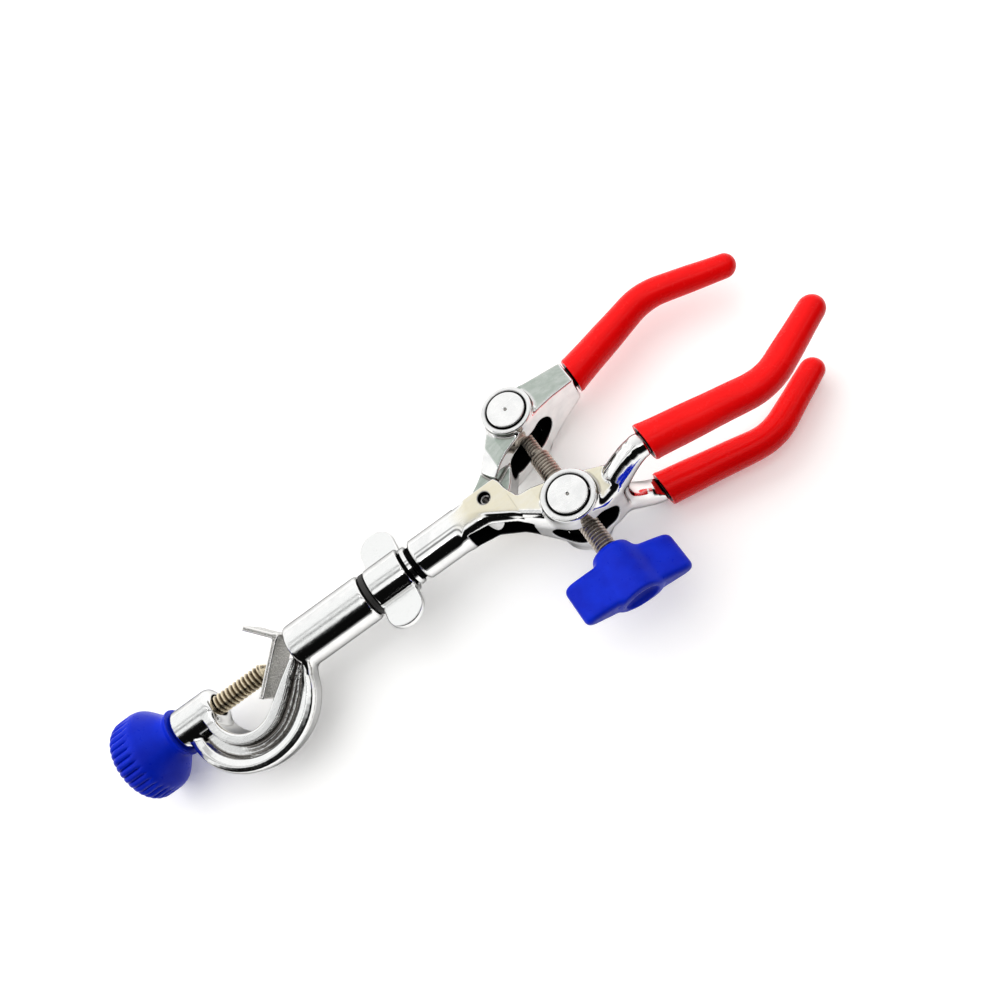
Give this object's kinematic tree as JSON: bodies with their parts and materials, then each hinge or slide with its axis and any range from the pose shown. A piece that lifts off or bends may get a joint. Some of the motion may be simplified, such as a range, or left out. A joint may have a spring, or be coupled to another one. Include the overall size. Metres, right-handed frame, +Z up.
{
  "type": "three-finger extension clamp",
  "caption": "Laboratory clamp with vinyl-dipped fingers closed by a butterfly-knob screw, on a swivelling boss head with a hook and knurled screw knob.",
  "frame": {"origin": "middle of the bounding box in plan, on the surface that the clamp lies on", "axes": "+X along the clamp towards the fingers, +Y away from the hook, towards the single finger, +Z up"},
  "size_m": [0.226, 0.078, 0.0418],
  "materials": {
    "chrome_casting": "bright plated, slightly wavy casting",
    "vee_steel": "rough grey sheet with bright edges",
    "screw_steel": "rolled thread, nickel brown",
    "hidden_steel": "turned",
    "blue_plastic": "moulded, semi-matte",
    "red_vinyl": "dipped, glossy"
  },
  "bodies": {
    "boss_head": {"boss_casting": "chrome_casting", "vee_plate": "vee_steel", "thrust_washer": "hidden_steel"},
    "screw_slider": {"boss_screw": "screw_steel"},
    "round_knob": {"boss_knob": "blue_plastic"},
    "clamp_arm": {"arm_shaft": "screw_steel", "snap_ring": "hidden_steel", "swivel_washer": "hidden_steel", "fixed_jaw": "chrome_casting", "cross_pin": "hidden_steel", "pivot_pin": "hidden_steel", "finger_sleeve_upper": "red_vinyl", "finger_sleeve_lower": "red_vinyl"},
    "lock_nut": {"lock_ring": "chrome_casting"},
    "moving_jaw": {"single_jaw": "chrome_casting", "finger_sleeve_single": "red_vinyl"},
    "moving_trunnion": {"trunnion_single": "chrome_casting"},
    "fixed_trunnion": {"trunnion_fixed": "chrome_casting"},
    "rod_slider": {"adjusting_rod": "screw_steel"},
    "wing_knob": {"butterfly_knob": "blue_plastic"}
  },
  "joints": [
    {"name": "boss_screw_travel", "type": "slide", "parent": "boss_head", "child": "screw_slider", "axis": [0.9997, 0, 0.0233], "range_m": [-0.021, 0]},
    {"name": "round_knob_spin", "type": "hinge", "parent": "screw_slider", "child": "round_knob", "pos_m": [-0.1045, 0.00789, 0.0129], "axis": [0.9997, 0, 0.0233], "range_deg": [-5401, 0]},
    {"name": "arm_swivel", "type": "hinge", "parent": "boss_head", "child": "clamp_arm", "pos_m": [-0.04152, 0.00789, 0.01436], "axis": [0.9997, 0, 0.0233], "continuous": true},
    {"name": "lock_ring_turn", "type": "hinge", "parent": "clamp_arm", "child": "lock_nut", "pos_m": [-0.02152, 0.00789, 0.01483], "axis": [0.9997, 0, 0.0233], "range_deg": [0, 540]},
    {"name": "jaw_hinge", "type": "hinge", "parent": "clamp_arm", "child": "moving_jaw", "pos_m": [0.01347, 0.00789, 0.01564], "axis": [-0.0228, 0.1982, 0.9799], "range_deg": [-20, 20]},
    {"name": "moving_trunnion_turn", "type": "hinge", "parent": "moving_jaw", "child": "moving_trunnion", "pos_m": [0.03254, 0.02387, 0.01286], "axis": [-0.0228, 0.1982, 0.9799], "range_deg": [-10.1, 10.1]},
    {"name": "fixed_trunnion_turn", "type": "hinge", "parent": "clamp_arm", "child": "fixed_trunnion", "pos_m": [0.03239, -0.00808, 0.01931], "axis": [-0.0228, 0.1982, 0.9799], "range_deg": [-10.1, 10.1]},
    {"name": "rod_travel", "type": "slide", "parent": "fixed_trunnion", "child": "rod_slider", "axis": [0.0046, 0.9802, -0.1981], "range_m": [-0.0034, 0.0034]},
    {"name": "wing_knob_spin", "type": "hinge", "parent": "rod_slider", "child": "wing_knob", "pos_m": [0.03228, -0.03131, 0.02401], "axis": [0.0046, 0.9802, -0.1981], "range_deg": [-1200, 1200]}
  ],
  "couplings": [
    {"joint": "round_knob_spin", "follows": "boss_screw_travel", "rad_per_m": 4488},
    {"joint": "wing_knob_spin", "follows": "jaw_hinge", "ratio": 59.69},
    {"joint": "moving_trunnion_turn", "follows": "jaw_hinge", "ratio": -0.5},
    {"joint": "fixed_trunnion_turn", "follows": "jaw_hinge", "ratio": 0.5},
    {"joint": "rod_travel", "follows": "jaw_hinge", "m_per_rad": 0.0095}
  ]
}
